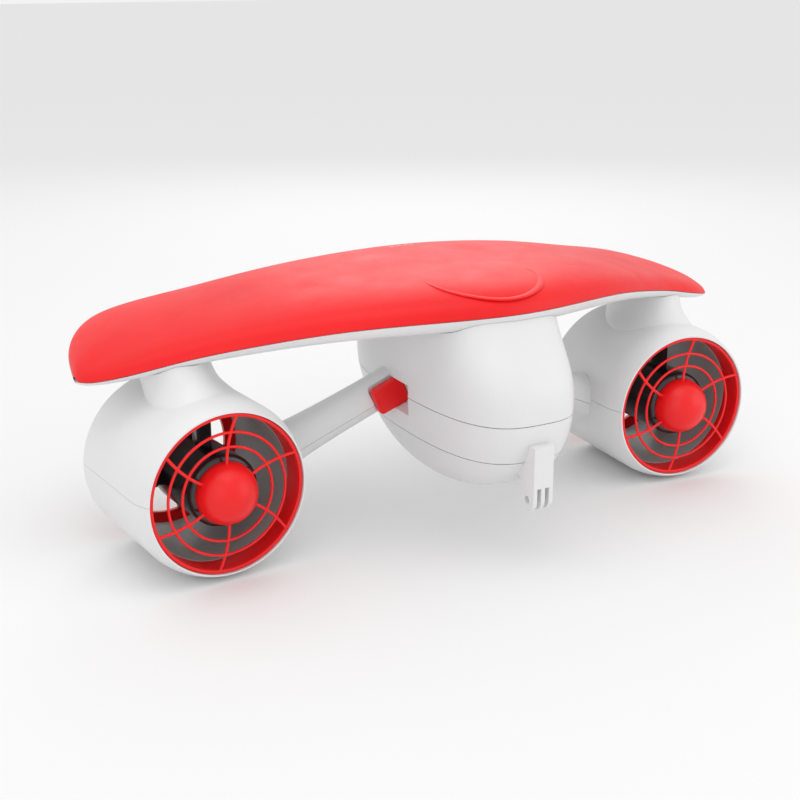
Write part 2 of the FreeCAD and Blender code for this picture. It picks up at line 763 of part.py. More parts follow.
def propeller(prefix, side):
    """Three-bladed screw; the two sides are mirrored so that their torques cancel."""
    start = propeller_start()
    end = start + S.propeller_length
    shoulder = start + S.propeller_length * 0.45
    hub_radius = S.pod_radius - 1
    tail_arc = tangent_radius(hub_radius - S.tail_radius, end - shoulder)
    hub = [
        (S.shaft_radius, start),
        (hub_radius, start),
        (hub_radius, shoulder, tail_arc),
        (S.tail_radius, end),
        (S.shaft_radius, end),
    ]
    body = turned(prefix + "propeller", [hub])
    middle = start + S.propeller_length / 2
    sections = []
    levels = (
        (hub_radius * 0.7, S.root_chord, S.root_pitch, S.blade_thickness * 1.3),
        (S.blade_radius + 1, S.tip_chord, S.tip_pitch, S.blade_thickness * 0.7),
    )
    for radius, chord, pitch, thickness in levels:
        sketch = new_sketch(body, "XZ_Plane", -radius)
        across = cosine(pitch) * chord / 2 * side
        along = sine(pitch) * chord / 2
        arc = tangent_radius(thickness / 2, chord / 2)
        draw(sketch, [(-across, middle - along, arc), (across, middle + along, arc)])
        sections.append(sketch)
    blade = body.newObject("PartDesign::AdditiveLoft", body.Name + "_blade")
    blade.Profile = sections[0]
    blade.Sections = sections[1:]
    body.Tip = blade
    repeated(body, blade, 3)
    doc.recompute()
    trim = new_sketch(body, "YZ_Plane")
    draw(trim, rod_outline(S.blade_radius, S.blade_radius * 1.3, start - 9, end + 9))
    groove = body.newObject("PartDesign::Groove", body.Name + "_trim")
    groove.Profile = trim
    groove.ReferenceAxis = (trim, ["V_Axis"])
    groove.Angle = 360
    body.Tip = groove
    body.Placement = thruster_place(side, PROPELLER_REST)
    return keep(body, prefix + "propeller")


PROPELLER_REST = 20
VANE_REST = 26


def outlet(prefix, side):
    """Red outlet ring and the black vanes that carry the tail bearing."""
    start = S.duct_length - S.outlet_length + S.fit_gap
    rear = S.duct_length + 1
    seat = S.liner_radius + S.liner_wall
    ring = [
        (S.liner_radius, start),
        (S.outlet_radius, rear - 3),
        (S.outlet_radius, rear),
        (seat, rear),
        (seat, start),
    ]
    body = turned(prefix + "outlet_ring", [ring])
    body.Placement = thruster_place(side)
    keep(body, prefix + "outlet_ring")
    front = tail_start()
    bore = S.shaft_radius + S.shaft_play
    flat = S.tail_radius / 3
    arc = tangent_radius(S.tail_radius - flat, rear - front - 4)
    hub = [
        (bore, front),
        (S.tail_radius, front),
        (S.tail_radius, front + 4, arc),
        (flat, rear),
        (0, rear),
        (0, shaft_end() + 1),
        (bore, shaft_end() + 1),
    ]
    body = turned(prefix + "outlet_vanes", [hub])
    sketch = new_sketch(body, "XY_Plane", front + 2)
    half = S.vane_width / 2
    root = S.tail_radius * 0.75
    draw(sketch, [(-half, root), (half, root), (half, S.outlet_radius), (-half, S.outlet_radius)])
    vane = padded(body, sketch, rear - front - 3)
    repeated(body, vane, 5)
    body.Placement = thruster_place(side, VANE_REST)
    keep(body, prefix + "outlet_vanes")


# Levels of the pylon from inside the duct's shoulder up into the board: height as a share of the way,
# half width, half length, and how far its middle has moved out and back from the duct's axis.
PYLON_LEVELS = [
    (0.00, 31, 45, 1, 46),
    (0.26, 30, 44.5, 3, 47),
    (0.42, 26.5, 39.5, 6, 54),
    (0.65, 24, 35.5, 9, 63),
    (1.00, 24.5, 34, 12, 72),
]
PYLON_FOOT = 2 / 3
PYLON_DROOP = 0.59


def pylon(prefix, side, board_outside):
    """Hollow flared neck between the duct and the board."""
    foot = S.duct_radius.value * (1 + PYLON_FOOT)
    head = S.rim_height.value - S.tip_drop.value * PYLON_DROOP
    lofts = []
    for name, wall in (("outside", 0), ("inside", S.duct_wall.value)):
        rings = []
        for share, half_width, half_length, out, back in PYLON_LEVELS:
            ring = doc.addObject("Part::Ellipse", prefix + "pylon_ring")
            ring.MajorRadius = half_length - wall
            ring.MinorRadius = half_width - wall
            across = side * (S.thruster_spacing.value / 2 + out)
            centre = Vector(across, back - S.ring_plane.value, foot + (head - foot) * share)
            ring.Placement = Placement(centre, Rotation(Vector(0, 0, 1), 90))
            rings.append(ring)
        loft = doc.addObject("Part::Loft", prefix + "pylon_" + name)
        loft.Sections = rings
        loft.Solid = True
        lofts.append(loft)
    shell = combine("Cut", prefix + "pylon_shell", lofts)
    duct = cylinder(prefix + "pylon_saddle", S.duct_radius, S.duct_length * 2, thruster_place(side))
    duct.Placement = thruster_place(side) * Placement(Vector(0, 0, -S.duct_length.value / 2), Rotation())
    return keep(cut_all(prefix + "pylon_cut", shell, (duct, board_outside)), prefix + "pylon")


# ---------------------------------------------------------------- grips and triggers

# Levels of a grip from the hull out: share of its length and share of its radius.
GRIP_LEVELS = [(-0.06, 1.06), (0.04, 1.02), (0.135, 1.0), (0.55, 1.04), (0.77, 1.12), (1.02, 1.42)]
GRIP_TALL = 1.02
GRIP_FLAT = 0.94
GRIP_SPLIT = 0.25


def grip_loft(name, wall, place):
    """Oval bar, flared where it meets the hull and the duct."""
    length = grip_length()
    radius = S.grip_radius.value
    rings = []
    for along, share in GRIP_LEVELS:
        ring = doc.addObject("Part::Ellipse", name + "_ring")
        ring.MajorRadius = radius * share * GRIP_TALL - wall
        ring.MinorRadius = radius * share * GRIP_FLAT - wall
        ring.Placement = place * Placement(Vector(0, 0, along * length), Rotation(Vector(0, 0, 1), 90))
        rings.append(ring)
    loft = doc.addObject("Part::Loft", name)
    loft.Sections = rings
    loft.Solid = True
    return loft


def rounded_plate(name, length, height, low, high, corner):
    """Rounded rectangle in the YZ plane of the grip, from one X to another."""
    body = new_body(name)
    sketch = new_sketch(body, "YZ_Plane", low)
    tall = height / 2
    start = S.trigger_offset - length / 2
    end = S.trigger_offset + length / 2
    draw(sketch, [
        (corner - tall, start), (tall - corner, start, corner), (tall, start + corner), (tall, end - corner, corner),
        (tall - corner, end), (corner - tall, end, corner), (-tall, end - corner), (-tall, start + corner, corner),
    ])
    padded(body, sketch, high - low)
    return body


def trigger_opening(name, side, grow, low):
    """Block of the trigger's outline, grown all round, from near the tube to the mouth of the recess."""
    length = S.trigger_length + grow * 2
    height = S.trigger_height + grow * 2
    opening = rounded_plate(name, length, height, low, S.trigger_scoop, S.trigger_corner + grow)
    opening.Placement = grip_place(side)
    return opening


def trigger_frame(prefix, window, socket, tube_hole):
    """Lining of the trigger's recess in the side of the hull, flush with the hull."""
    lining = socket.Shape.common(hull_solid(0)).cut(window.Shape).cut(tube_hole)
    keep(solid_feature(prefix + "trigger_frame", lining), prefix + "trigger_frame")


def grip(prefix, side, hull_outside, window):
    place = grip_place(side)
    length = grip_length()
    outside = grip_loft(prefix + "grip_outside", 0, place)
    inside = grip_loft(prefix + "grip_inside", S.grip_wall.value, place)
    shift = Placement(Vector(0, 0, -S.duct_length.value / 2), Rotation())
    duct = cylinder(prefix + "grip_duct_tool", S.duct_radius, S.duct_length * 2, thruster_place(side) * shift)
    doc.recompute()
    reach = S.grip_radius.value * 3
    split = S.grip_radius.value * -GRIP_SPLIT
    line = S.seam_gap.value / 4
    up = -side
    bands = {
        "grip_upper_shell": (split + line, reach),
        "grip_lower_shell": (-reach, split - line),
    }
    for name, edges in bands.items():
        low, high = sorted(edge * up for edge in edges)
        half_space = Part.makeBox(reach * 2, high - low, length + reach * 2, Vector(-reach, low, -reach))
        half = outside.Shape.common(half_space.transformed(place.toMatrix()))
        for tool in (inside, duct, window, hull_outside):
            half = half.cut(tool.Shape)
        keep(solid_feature(prefix + name, half), prefix + name)

    tube_start = -S.tube_reach
    axis_end = as_size(round(length, 3))
    tube = turned(prefix + "grip_tube", [
        rod_outline(S.tube_radius - S.tube_wall, S.tube_radius, tube_start, axis_end - S.tube_short),
    ])
    tube.Placement = place
    keep(tube, prefix + "grip_tube")
    lead = cylinder(prefix + "motor_lead_rod", S.lead_radius, axis_end + S.lead_reach, place)
    lead.Placement = place * Placement(Vector(0, 0, (tube_start - S.lead_reach).value), Rotation())
    keep(lead, prefix + "motor_lead")

    low = S.tube_radius + S.trigger_travel + S.trigger_clearance
    high = S.grip_radius + S.trigger_proud
    trigger = rounded_plate(prefix + "trigger", S.trigger_length, S.trigger_height, low, high, S.trigger_corner)
    trigger.Placement = place
    keep(trigger, prefix + "trigger")
    spring_low = S.tube_radius + S.fit_gap
    spring = turned(prefix + "trigger_spring", [
        rod_outline(S.spring_radius - S.spring_wall, S.spring_radius, 0, low - spring_low),
    ])
    seat = Placement(Vector(spring_low.value, 0, S.trigger_offset.value), Rotation(Vector(0, 1, 0), 90))
    spring.Placement = place * seat
    keep(spring, prefix + "trigger_spring")


# ---------------------------------------------------------------- small pieces of the middle

def camera_bracket(hull_outside):
    """Three-prong bracket with a cross hole, on the nose of the hull."""
    body = new_body("camera_bracket")
    sketch = new_sketch(body, "YZ_Plane")
    front = -S.bracket_front
    rear = front + S.bracket_depth
    round_end = S.bracket_depth / 2
    centre = S.bracket_hole_height
    back = front + S.bracket_heel
    draw(sketch, [
        (front, S.bracket_top),
        (front, centre, round_end),
        (front + round_end, centre - round_end, round_end),
        (rear, centre),
        (rear, centre + S.bracket_neck),
        (back, centre + S.bracket_slope),
        (back, S.bracket_top),
    ])
    padded(body, sketch, S.bracket_width, both_ways=True)
    hole_place = Placement(Vector(0, 0, 0), Rotation(Vector(0, 1, 0), 90))
    hole = cylinder("bracket_hole_tool", S.bracket_hole, S.bracket_width * 2, hole_place)
    hole.Placement.Base = Vector(-S.bracket_width.value, (front + round_end).value, centre.value)
    prong = (S.bracket_width - S.bracket_slot * 2) / 3
    tools = [hole]
    for name, start in (("right", -S.bracket_slot - prong / 2), ("left", prong / 2)):
        low = (start, front - 1, centre - round_end - 1)
        high = (start + S.bracket_slot, rear + 1, centre + round_end + 1.5)
        tools.append(block("bracket_slot_" + name, low, high))
    tools.append(hull_outside)
    return keep(cut_all("camera_bracket_cut", body, tools), "camera_bracket")


def inner_boxes():
    """Battery pack in the lower shell and motor controller in the upper one, under each other."""
    boxes = {
        "battery_pack": (S.battery_width, S.battery_length, S.battery_height, S.hull_bottom + S.battery_floor),
        "motor_controller": (
            S.controller_width, S.controller_length, S.controller_height, S.hull_waist + S.controller_floor,
        ),
    }
    for name, (width, length, height, floor) in boxes.items():
        middle = S.hull_widest
        low = (-width / 2, middle - length / 2, floor)
        high = (width / 2, middle + length / 2, floor + height)
        keep(block(name + "_box", low, high), name)


def charge_lights(cover, core):
    """Row of four small oval lenses let into the cover, with their board under it."""
    lenses = []
    holes = []
    back = S.light_back.value
    for index in range(4):
        x = (index - 1.5) * S.light_pitch.value
        for store, grow in ((lenses, 0), (holes, S.light_play.value)):
            half_length = S.light_length.value / 2 + grow
            half_width = S.light_width.value / 2 + grow
            oval = Part.Ellipse(Vector(x, back, 0), half_length, half_width).toShape()
            store.append(Part.Face(Part.Wire(oval)).extrude(Vector(0, 0, S.hull_top.value * 2)))
    hole_tool = Part.makeCompound(holes)
    skin = cover.Shape
    lens = skin.common(Part.makeCompound(lenses))
    keep(solid_feature("charge_lights", lens), "charge_lights")
    cover.Shape = skin.cut(hole_tool)
    keep(cover, "board_cover")
    height = S.circuit_height.value
    base = Vector(-S.circuit_length.value / 2, back - S.circuit_width.value / 2, 0)
    base.z = lens.BoundBox.ZMin - S.circuit_drop.value - height
    circuit = Part.makeBox(S.circuit_length.value, S.circuit_width.value, height, base)
    keep(solid_feature("light_board", circuit), "light_board")
    room = S.fit_gap.value * 2
    size = (S.circuit_length.value + room * 2, S.circuit_width.value + room * 2, S.board_crown.value * 2)
    pocket = Part.makeBox(*size, base - Vector(room, room, room))
    core.Shape = core.Shape.cut(pocket)
    keep(core, "board_core")


SIDES = ((1, "left_"), (-1, "right_"))
board_outside, cover, tray, core = board()
doc.recompute()
tube_holes = {}
windows = {}
sockets = {}
for side, prefix in SIDES:
    reach = S.hull_half_width.value
    hole = Part.makeCylinder(S.tube_radius.value + S.fit_gap.value, reach, Vector(0, 0, -reach / 2))
    tube_holes[side] = hole.transformed(grip_place(side).toMatrix())
    windows[side] = trigger_opening(prefix + "trigger_window", side, S.fit_gap, S.tube_radius)
    grow = S.fit_gap + S.frame_wall
    sockets[side] = trigger_opening(prefix + "trigger_socket", side, grow, S.tube_radius + S.fit_gap)
doc.recompute()
hull_outside = hull(board_outside, [*tube_holes.values(), *(socket.Shape for socket in sockets.values())])
keep(tray, "board_tray")
charge_lights(cover, core)
camera_bracket(hull_outside)
inner_boxes()
for side, prefix in SIDES:
    duct_shells(prefix, side)
    duct_liner(prefix, side)
    intake_guard(prefix, side)
    motor_pod(prefix, side)
    motor_inside(prefix, side)
    propeller(prefix, side)
    outlet(prefix, side)
    pylon(prefix, side, board_outside)
    trigger_frame(prefix, windows[side], sockets[side], tube_holes[side])
    grip(prefix, side, hull_outside, windows[side])

doc.recompute()

# ---------------------------------------------------------------- checks and files

for thing in doc.Objects:
    if "Invalid" in thing.State or "Error" in thing.State:
        raise RuntimeError(f"{thing.Label} failed: {thing.State}")
os.makedirs("parts", exist_ok=True)
for thing in subparts:
    shape = thing.Shape
    if shape.isNull() or not shape.isValid() or not shape.Solids:
        raise RuntimeError(f"{thing.Label} has no valid solid")
    shape.exportStep(f"parts/{thing.Label}.step")
    print(f"{thing.Label:26s} solids {len(shape.Solids)}  volume {shape.Volume / 1000:9.2f} cm3")
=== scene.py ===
# %% [markdown]
# # An underwater scooter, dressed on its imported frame
# The scooter is a red and white board that a diver holds by two grips. Under each tip hangs a ducted
# propeller, and a white hull in the middle carries the battery. Its shells, ducts and hull come from
# the CAD frame and stay where they are. This lesson gives each of them a moulded finish and makes the
# pieces that need rounder forms: intake guards, propellers, triggers and the trigger springs.

# %% Load the frame
import json
import math

import bmesh
import bpy
from mathutils import Matrix, Vector


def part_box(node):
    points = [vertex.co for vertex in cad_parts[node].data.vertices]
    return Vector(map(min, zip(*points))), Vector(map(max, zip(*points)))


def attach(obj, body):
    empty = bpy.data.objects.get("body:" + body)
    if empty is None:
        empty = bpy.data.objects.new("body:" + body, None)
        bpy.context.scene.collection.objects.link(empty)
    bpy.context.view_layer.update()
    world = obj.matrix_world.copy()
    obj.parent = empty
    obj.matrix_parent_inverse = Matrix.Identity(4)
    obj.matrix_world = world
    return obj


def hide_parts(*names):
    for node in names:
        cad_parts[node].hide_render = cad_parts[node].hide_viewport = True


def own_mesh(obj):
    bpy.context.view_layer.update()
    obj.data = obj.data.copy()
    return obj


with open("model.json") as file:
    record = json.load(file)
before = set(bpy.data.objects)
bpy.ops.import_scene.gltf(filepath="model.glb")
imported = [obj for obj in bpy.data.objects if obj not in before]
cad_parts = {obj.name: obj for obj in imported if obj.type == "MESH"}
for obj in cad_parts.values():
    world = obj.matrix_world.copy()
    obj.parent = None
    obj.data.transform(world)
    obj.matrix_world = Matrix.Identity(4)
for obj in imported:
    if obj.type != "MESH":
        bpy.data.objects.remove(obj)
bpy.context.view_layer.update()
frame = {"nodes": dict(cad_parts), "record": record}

MM = 0.001

# %% [markdown]
# ## Node helpers
# Every finish here is built from shader nodes. A few short helpers keep the recipes readable: one
# starts a material and hands back its tree, one adds a node with its settings, and one mixes colours.
# Patterns read Object coordinates, which are metres in the frame, so a grain has a true size.

# %% Material helpers
def start_material(name):
    material = bpy.data.materials.new(name)
    material.use_nodes = True
    tree = material.node_tree
    return material, tree, tree.nodes["Principled BSDF"]


def add_node(tree, kind, values=None, **settings):
    node = tree.nodes.new(kind)
    for key, value in settings.items():
        setattr(node, key, value)
    for key, value in (values or {}).items():
        node.inputs[key].default_value = value
    return node


def noise(tree, coords, scale, detail=3.0, roughness=0.5):
    node = add_node(tree, "ShaderNodeTexNoise", {
        "Scale": scale, "Detail": detail, "Roughness": roughness})
    tree.links.new(coords, node.inputs["Vector"])
    return node.outputs["Fac"]


def ramp(tree, factor, low, high, to_low=0.0, to_high=1.0):
    node = add_node(tree, "ShaderNodeMapRange", {
        "From Min": low, "From Max": high, "To Min": to_low, "To Max": to_high})
    tree.links.new(factor, node.inputs["Value"])
    return node.outputs["Result"]


def mix_colour(tree, factor, first, second):
    node = add_node(tree, "ShaderNodeMix", data_type="RGBA")
    tree.links.new(factor, node.inputs["Factor"])
    for socket, value in ((node.inputs[6], first), (node.inputs[7], second)):
        if isinstance(value, bpy.types.NodeSocket):
            tree.links.new(value, socket)
        else:
            socket.default_value = (*value, 1.0)
    return node.outputs[2]


def multiply(tree, first, second):
    node = add_node(tree, "ShaderNodeMath", operation="MULTIPLY")
    for socket, value in zip(node.inputs, (first, second)):
        if isinstance(value, bpy.types.NodeSocket):
            tree.links.new(value, socket)
        else:
            socket.default_value = value
    return node.outputs[0]


print("helpers ready")

# %% [markdown]
# ## Where edges wear
# Handled plastic pales on its corners first. The Bevel node gives a softened normal near an
# edge, and comparing it with the true normal shows where the edges are. That works on the frame's
# loose triangles, where a vertex-based measure such as Pointiness would not.

# %% Edge finder
EDGE_SEEN_BELOW = 0.97
EDGE_FULL_AT = 0.70


def edge_amount(tree, radius):
    soft = add_node(tree, "ShaderNodeBevel", {"Radius": radius}, samples=4)
    plain = add_node(tree, "ShaderNodeNewGeometry")
    compare = add_node(tree, "ShaderNodeVectorMath", operation="DOT_PRODUCT")
    tree.links.new(soft.outputs["Normal"], compare.inputs[0])
    tree.links.new(plain.outputs["Normal"], compare.inputs[1])
    return ramp(tree, compare.outputs["Value"], EDGE_SEEN_BELOW, EDGE_FULL_AT)


print("edge finder ready")

# %% [markdown]
# ## Moulded plastic
# Most of the scooter is injection-moulded plastic. The real one has a faint drift in colour where
# the melt cooled unevenly, a very fine grain left by the tool, a handling haze in its gloss, and
# paler edges. One recipe covers the red, white and black parts and the duct liner, whose grey is
# painted shade on what is white plastic, and each differs by its numbers.

# %% Moulded plastic recipe
DRIFT_SCALE = 9.0
WEAR_SCALE = 160.0
HAZE_SCALE = 38.0
GRAIN_DEPTH = 0.05 * MM
COAT_ROUGHNESS = 0.12


def moulded_plastic(name, colour, edge_colour, drift=0.05, gloss=(0.28, 0.38), grain=0.04,
                    grain_size=0.7 * MM, coat=0.0, wear=0.35, edge=0.7 * MM, shine=0.5):
    material, tree, shader = start_material(name)
    coords = add_node(tree, "ShaderNodeTexCoord").outputs["Object"]
    cloud = noise(tree, coords, DRIFT_SCALE, 4.0)
    darker = [channel * (1 - drift) for channel in colour]
    lighter = [min(1.0, channel * (1 + drift)) for channel in colour]
    body = mix_colour(tree, ramp(tree, cloud, 0.35, 0.65), darker, lighter)
    edges = edge_amount(tree, edge)
    patchy = ramp(tree, noise(tree, coords, WEAR_SCALE, 5.0), 0.42, 0.62)
    worn = multiply(tree, multiply(tree, edges, patchy), wear)
    tree.links.new(mix_colour(tree, worn, body, edge_colour), shader.inputs["Base Color"])
    haze = noise(tree, coords, HAZE_SCALE, 6.0, 0.62)
    tree.links.new(ramp(tree, haze, 0.3, 0.7, *gloss), shader.inputs["Roughness"])
    fine = noise(tree, coords, 1.0 / grain_size, 2.0)
    bump = add_node(tree, "ShaderNodeBump", {"Strength": grain, "Distance": GRAIN_DEPTH})
    tree.links.new(fine, bump.inputs["Height"])
    tree.links.new(bump.outputs["Normal"], shader.inputs["Normal"])
    shader.inputs["Coat Weight"].default_value = coat
    shader.inputs["Coat Roughness"].default_value = COAT_ROUGHNESS
    shader.inputs["Specular IOR Level"].default_value = shine
    return material


RED_GLOSS = moulded_plastic("cover_red", (0.84, 0.010, 0.012), (0.90, 0.08, 0.07), drift=0.05,
                            gloss=(0.38, 0.48), grain=0.05, coat=0.0, wear=0.12, shine=0.28)
RED_PART = moulded_plastic("trim_red", (0.84, 0.006, 0.008), (0.92, 0.12, 0.10), drift=0.05,
                           gloss=(0.32, 0.42), grain=0.03, coat=0.05, wear=0.2, edge=0.4 * MM,
                           shine=0.4)
WHITE = moulded_plastic("shell_white", (0.75, 0.75, 0.755), (0.84, 0.84, 0.84), drift=0.02,
                        gloss=(0.34, 0.46), grain=0.06, coat=0.08, wear=0.25)
# The duct's inner wall is white plastic; this grey base colour is painted shade for the shadow inside
# the duct.
LINER_SHADE_GREY = moulded_plastic("liner_painted_shade_grey", (0.36, 0.365, 0.36), (0.46, 0.46, 0.46), drift=0.08,
                       gloss=(0.42, 0.55), grain=0.12, grain_size=0.9 * MM, wear=0.3)
BLACK = moulded_plastic("pod_black", (0.012, 0.012, 0.014), (0.09, 0.09, 0.09), drift=0.15,
                        gloss=(0.16, 0.28), grain=0.03, coat=0.4, edge=0.5 * MM)
print("plastics:", RED_GLOSS.name, RED_PART.name, WHITE.name, LINER_SHADE_GREY.name, BLACK.name)

# %% [markdown]
# ## Rubber seals
# The hull's seal and the shaft seals are moulded rubber: nearly black, dull, with a fine dusty bloom
# that settles in patches. Mixing a grey into the black by noise gives the bloom.

# %% Rubber recipe
BLOOM_SCALE = 70.0
RUBBER_GRAIN_SCALE = 900.0


def rubber(name):
    material, tree, shader = start_material(name)
    coords = add_node(tree, "ShaderNodeTexCoord").outputs["Object"]
    bloom = ramp(tree, noise(tree, coords, BLOOM_SCALE, 6.0), 0.45, 0.75)
    tree.links.new(mix_colour(tree, bloom, (0.012, 0.012, 0.012), (0.045, 0.044, 0.042)),
                   shader.inputs["Base Color"])
    tree.links.new(ramp(tree, bloom, 0, 1, 0.62, 0.82), shader.inputs["Roughness"])
    bump = add_node(tree, "ShaderNodeBump", {"Strength": 0.2, "Distance": 0.08 * MM})
    tree.links.new(noise(tree, coords, RUBBER_GRAIN_SCALE), bump.inputs["Height"])
    tree.links.new(bump.outputs["Normal"], shader.inputs["Normal"])
    return material


RUBBER = rubber("seal_rubber")
print("rubber:", RUBBER.name)

# %% [markdown]
# ## Metals
# Shafts and bearings are ground steel, the winding is enamelled copper and the grip's tube is drawn
# aluminium. Each shows the marks of its making: rings from grinding, turns of wire, long draw lines.
# A Wave texture across one axis gives all three, with its own spacing and depth.

# %% Metal recipe
STAIN_SCALE = 55.0


def metal(name, colour, second, axis, spacing, rough=(0.2, 0.35), depth=0.1):
    material, tree, shader = start_material(name)
    coords = add_node(tree, "ShaderNodeTexCoord").outputs["Object"]
    lines = add_node(tree, "ShaderNodeTexWave", {
        "Scale": 1.0 / spacing, "Distortion": 0.4, "Detail": 2.0}, bands_direction=axis)
    tree.links.new(coords, lines.inputs["Vector"])
    stain = ramp(tree, noise(tree, coords, STAIN_SCALE, 5.0), 0.4, 0.7)
    tree.links.new(mix_colour(tree, stain, colour, second), shader.inputs["Base Color"])
    tree.links.new(ramp(tree, lines.outputs["Fac"], 0, 1, *rough), shader.inputs["Roughness"])
    bump = add_node(tree, "ShaderNodeBump", {"Strength": depth, "Distance": 0.1 * MM})
    tree.links.new(lines.outputs["Fac"], bump.inputs["Height"])
    tree.links.new(bump.outputs["Normal"], shader.inputs["Normal"])
    shader.inputs["Metallic"].default_value = 1.0
    return material


STEEL = metal("ground_steel", (0.56, 0.56, 0.58), (0.46, 0.46, 0.48), "Y", 1.5 * MM)
COPPER = metal("winding_copper", (0.72, 0.30, 0.14), (0.55, 0.20, 0.09), "Z", 3.0 * MM,
               (0.25, 0.4), 0.7)
ALUMINIUM = metal("drawn_aluminium", (0.74, 0.75, 0.77), (0.62, 0.63, 0.65), "Z", 0.8 * MM)
print("metals:", STEEL.name, COPPER.name, ALUMINIUM.name)

# %% [markdown]
# ## Things inside the shells
# The board's foam filling, the wrapped battery, the circuit boards and the frosted light windows are
# mostly hidden, but a good part is finished inside as well. Foam is a mass of small cells, which
# a Voronoi texture gives. The wrap is glossy film with faint creases, and a circuit board has tracks.

# %% Inner finishes
DULLING_SCALE = 60.0


def cellular(name, colour, second, cell, rough, depth, metric="EUCLIDEAN"):
    material, tree, shader = start_material(name)
    coords = add_node(tree, "ShaderNodeTexCoord").outputs["Object"]
    cells = add_node(tree, "ShaderNodeTexVoronoi", {"Scale": 1.0 / cell}, distance=metric)
    tree.links.new(coords, cells.inputs["Vector"])
    tint = ramp(tree, cells.outputs["Distance"], 0.1, 0.8)
    tree.links.new(mix_colour(tree, tint, colour, second), shader.inputs["Base Color"])
    dulling = noise(tree, coords, DULLING_SCALE, 4.0)
    tree.links.new(ramp(tree, dulling, 0.3, 0.7, *rough), shader.inputs["Roughness"])
    bump = add_node(tree, "ShaderNodeBump", {"Strength": depth, "Distance": 0.2 * MM})
    tree.links.new(cells.outputs["Distance"], bump.inputs["Height"])
    tree.links.new(bump.outputs["Normal"], shader.inputs["Normal"])
    return material


FOAM = cellular("board_foam", (0.62, 0.58, 0.48), (0.80, 0.77, 0.68), 2.2 * MM, (0.8, 0.95), 0.6)
WRAP = cellular("battery_wrap", (0.030, 0.050, 0.130), (0.050, 0.085, 0.200), 14 * MM,
                (0.18, 0.35), 0.25)
BOARD = cellular("circuit_green", (0.012, 0.090, 0.035), (0.10, 0.22, 0.07), 2.6 * MM,
                 (0.3, 0.45), 0.35, "CHEBYCHEV")
print("inner finishes:", FOAM.name, WRAP.name, BOARD.name)

# %% [markdown]
# ## Frosted light windows
# Four small oval windows on top of the board show the charge. They are warm, milky plastic. A little
# subsurface scattering and a sanded roughness give the milk without a true volume.

# %% Light window recipe
MILK_SCALE = 300.0


def frosted(name):
    material, tree, shader = start_material(name)
    coords = add_node(tree, "ShaderNodeTexCoord").outputs["Object"]
    cloud = ramp(tree, noise(tree, coords, MILK_SCALE, 3.0), 0.35, 0.7)
    tree.links.new(mix_colour(tree, cloud, (0.50, 0.46, 0.32), (0.62, 0.57, 0.42)),
                   shader.inputs["Base Color"])
    tree.links.new(ramp(tree, cloud, 0, 1, 0.3, 0.45), shader.inputs["Roughness"])
    shader.inputs["Subsurface Weight"].default_value = 0.3
    shader.inputs["Subsurface Scale"].default_value = 1.0 * MM
    return material


FROSTED = frosted("frosted_window")
print("windows:", FROSTED.name)

# %% [markdown]
# ## Dress the frame's own pieces
# The record names a finish for each CAD node. The table below turns that name into one of the
# materials above, so no shell is left in its plain preview colour.

# %% Assign finishes
FINISHES = {
    "red_gloss": RED_GLOSS, "red_plastic": RED_PART, "white_plastic": WHITE, "grey_liner": LINER_SHADE_GREY,
    "black_plastic": BLACK, "rubber_seal": RUBBER, "lens": FROSTED, "circuit": BOARD, "foam": FOAM,
    "battery": WRAP, "steel": STEEL, "copper": COPPER, "aluminium": ALUMINIUM,
}
for part in frame["record"]["subparts"]:
    node = frame["nodes"][part["node"]]
    for material_slot in node.material_slots:
        material_slot.material = FINISHES[part["material_slot"]]

# %% [markdown]
# ## Finishing a new piece
# A new piece is made around the origin of its own small frame, then its place is written into its
# mesh. One helper welds doubles, turns the faces outwards, shades it smooth, rides it on its body
# and hides the CAD node it stands for.

# %% Piece helper
WELD = 0.002 * MM


def finish_piece(bm, name, material, body, place, node, crease=35.0):
    bmesh.ops.remove_doubles(bm, verts=bm.verts, dist=WELD)
    bmesh.ops.transform(bm, matrix=place, verts=bm.verts)
    bmesh.ops.recalc_face_normals(bm, faces=bm.faces)
    for face in bm.faces:
        face.smooth = True
    for edge in bm.edges:
        if edge.is_manifold and edge.calc_face_angle() > math.radians(crease):
            edge.smooth = False
    mesh = bpy.data.meshes.new(name)
    bm.to_mesh(mesh)
    bm.free()
    piece = bpy.data.objects.new(name, mesh)
    bpy.context.scene.collection.objects.link(piece)
    mesh.materials.append(material)
    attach(piece, body)
    if node:
        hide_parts(node)
    print(name, len(mesh.polygons), "faces")
    return piece


# %% [markdown]
# ## The thruster's own frame
# Each thruster is turned a few degrees towards the middle. The joint in the record holds its centre
# and its axis, so its frame comes from there: local Z runs back along the axis and local Y is up.

# %% Thruster frames
def place_from(centre, along, up):
    z = along.normalized()
    x = up.cross(z).normalized()
    y = z.cross(x)
    turn = Matrix((x, y, z)).transposed().to_4x4()
    return Matrix.Translation(centre) @ turn


JOINTS = {joint["name"]: joint for joint in frame["record"]["behaviour"]["joints"]}
THRUSTERS = {}
for side in ("left", "right"):
    spin = JOINTS[side + "_propeller_spin"]
    THRUSTERS[side] = place_from(Vector(spin["pos_m"]), Vector(spin["axis"]), Vector((0, 0, 1)))
    print(side, "thruster at", [round(v / MM, 1) for v in THRUSTERS[side].translation])

# %% [markdown]
# ## Sweeping a bar
# Guard spokes, propeller blades and springs are all one section carried along a path while it turns
# and changes size. Extruding a ring of edges again and again, and moving each new ring with a matrix,
# is the same thing a lofting tool does, and it leaves clean four-sided faces.

